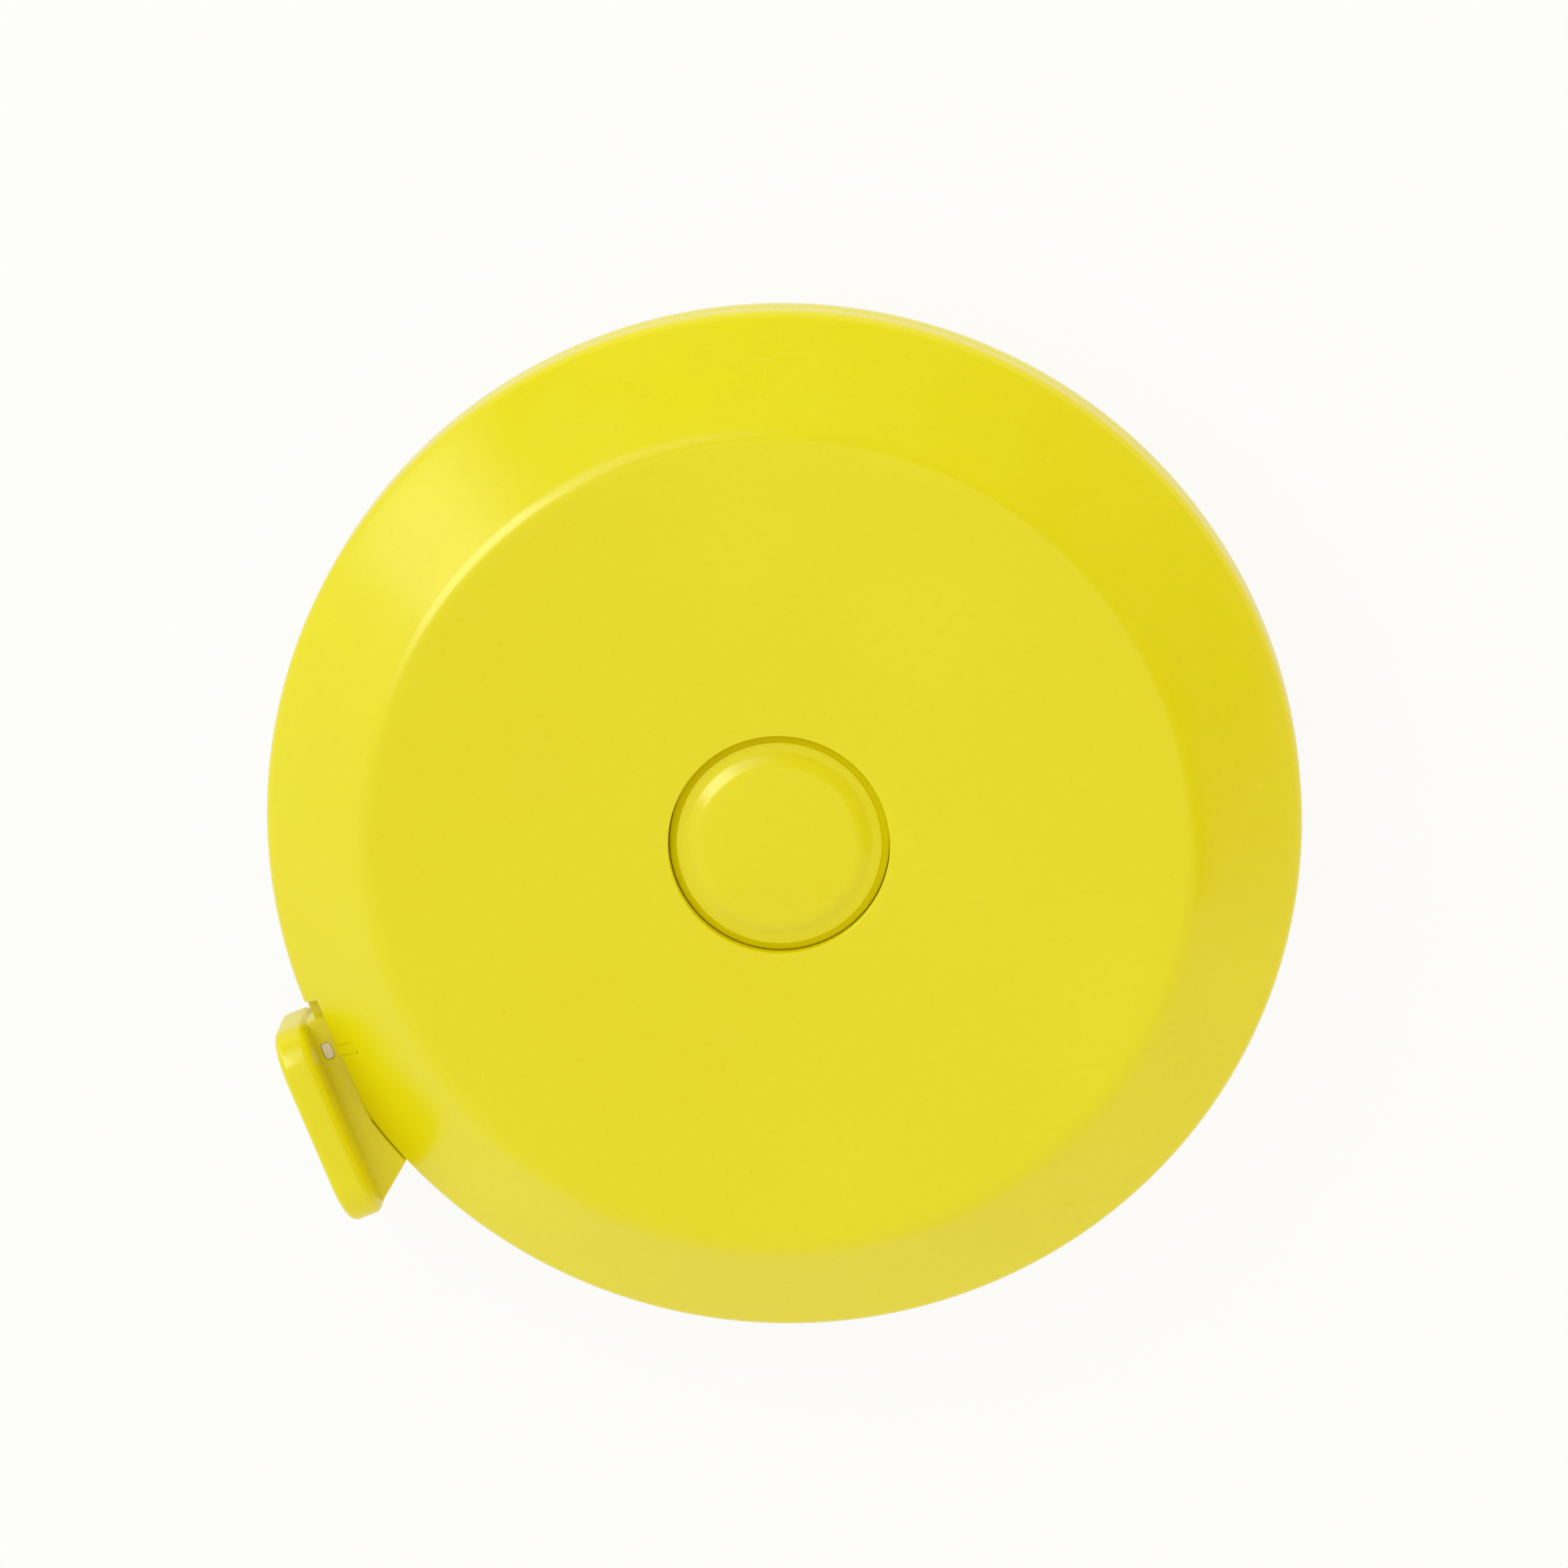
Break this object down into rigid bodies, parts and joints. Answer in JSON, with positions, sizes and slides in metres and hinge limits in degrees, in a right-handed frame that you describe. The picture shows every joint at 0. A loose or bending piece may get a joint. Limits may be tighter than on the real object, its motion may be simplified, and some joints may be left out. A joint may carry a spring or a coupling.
{
  "type": "retractable sewing tape measure",
  "caption": "Round yellow casing with a push button in its middle, a sprung spool of soft measuring tape inside, and a finger tab on the tape's end.",
  "frame": {"origin": "centre of the flat back face, on the button's axis", "axes": "+Z along the button's axis, out of the front; +X and +Y across the casing, with the tape's mouth 202.4 degrees round from +X"},
  "size_m": [0.05, 0.05, 0.0132],
  "materials": {
    "case_plastic": "glossy lemon-yellow moulded plastic",
    "spool_plastic": "plain white moulded plastic",
    "dark_plastic": "black moulded plastic",
    "tape": "coated fabric tape with printed centimetre marks",
    "steel": "turned steel",
    "spring_steel": "blued spring steel",
    "rubber": "soft black rubber"
  },
  "bodies": {
    "case": {"back_shell": "case_plastic", "front_shell": "case_plastic", "spindle": "steel", "thrust_washer": "spool_plastic", "power_spring": "spring_steel", "button_spring": "spring_steel", "tape_lead": "tape", "tape_guide_pin": "steel"},
    "spool": {"spool_drum": "spool_plastic", "spool_flange": "spool_plastic", "spring_cover": "spool_plastic", "tape_coil": "tape", "tape_anchor": "dark_plastic"},
    "button": {"push_button": "case_plastic", "brake_plate": "dark_plastic", "friction_ring": "rubber", "stem_clip": "steel"},
    "tape_end": {"pull_tab": "case_plastic", "tape_tongue": "tape"}
  },
  "joints": [
    {"name": "button_press", "type": "slide", "parent": "case", "child": "button", "axis": [0, 0, -1], "range_m": [0, 0.001], "stiffness_N_per_m": 500, "springref_m": -0.001, "deforming": ["button_spring"]},
    {"name": "spool_spin", "type": "hinge", "parent": "case", "child": "spool", "pos_m": [0, 0, 0.0066], "axis": [0, 0, 1], "range_deg": [0, 6130], "deforming": ["power_spring"]},
    {"name": "tape_pull", "type": "slide", "parent": "case", "child": "tape_end", "axis": [-0.9245, -0.3811, 0], "range_m": [0, 1.5]}
  ],
  "couplings": [
    {"joint": "tape_pull", "follows": "spool_spin", "m_per_rad": 0.014019}
  ]
}
